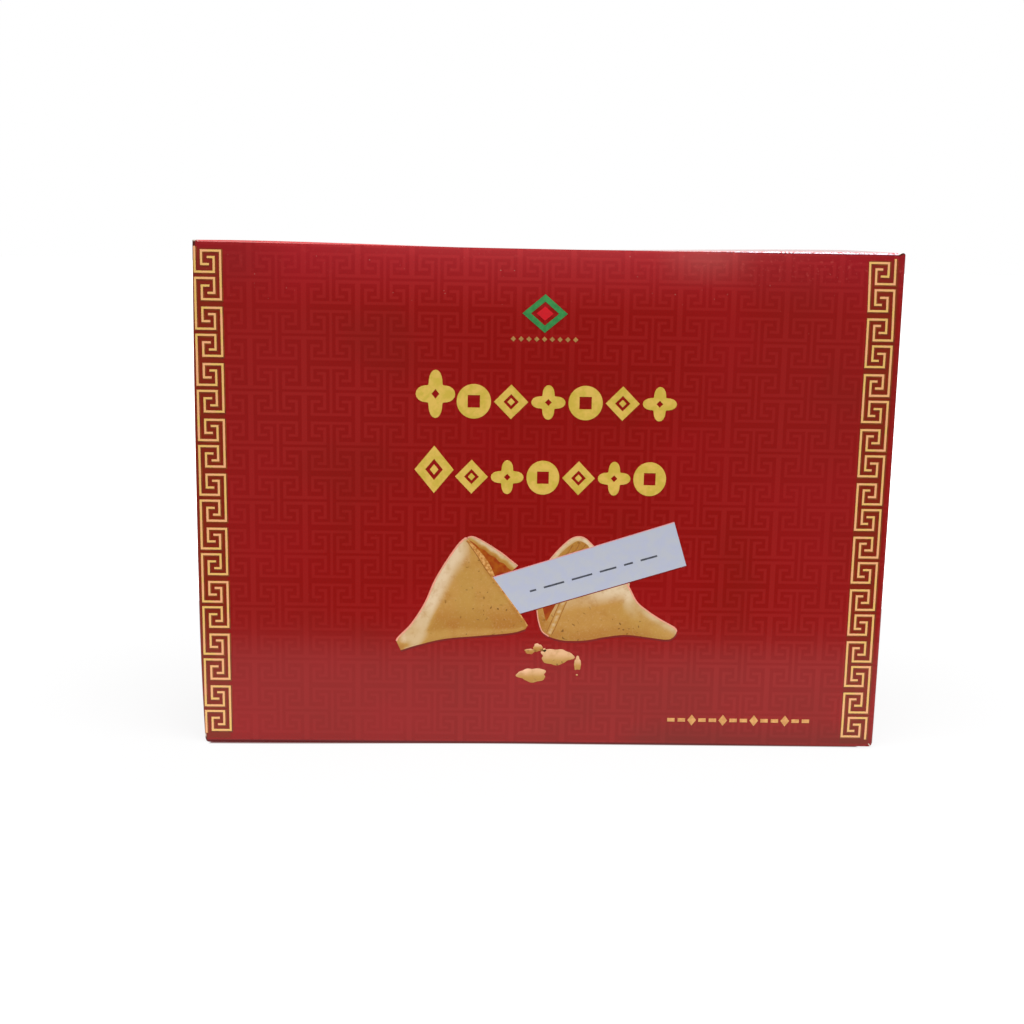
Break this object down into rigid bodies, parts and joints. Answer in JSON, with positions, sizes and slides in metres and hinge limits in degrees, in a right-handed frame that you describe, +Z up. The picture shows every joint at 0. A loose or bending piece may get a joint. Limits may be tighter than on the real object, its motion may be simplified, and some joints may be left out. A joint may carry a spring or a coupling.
{
  "type": "biscuit carton",
  "caption": "Shut upright paperboard carton of fortune cookies, red with gold key-pattern borders and a tuck-in lid.",
  "frame": {"origin": "middle of the flat base", "axes": "+Z up, the printed front faces -Y, +X to the right as seen from the front"},
  "size_m": [0.2, 0.06, 0.146],
  "materials": {
    "varnished_board": "red print under satin varnish"
  },
  "bodies": {
    "root": {"carton": "varnished_board"}
  },
  "joints": []
}
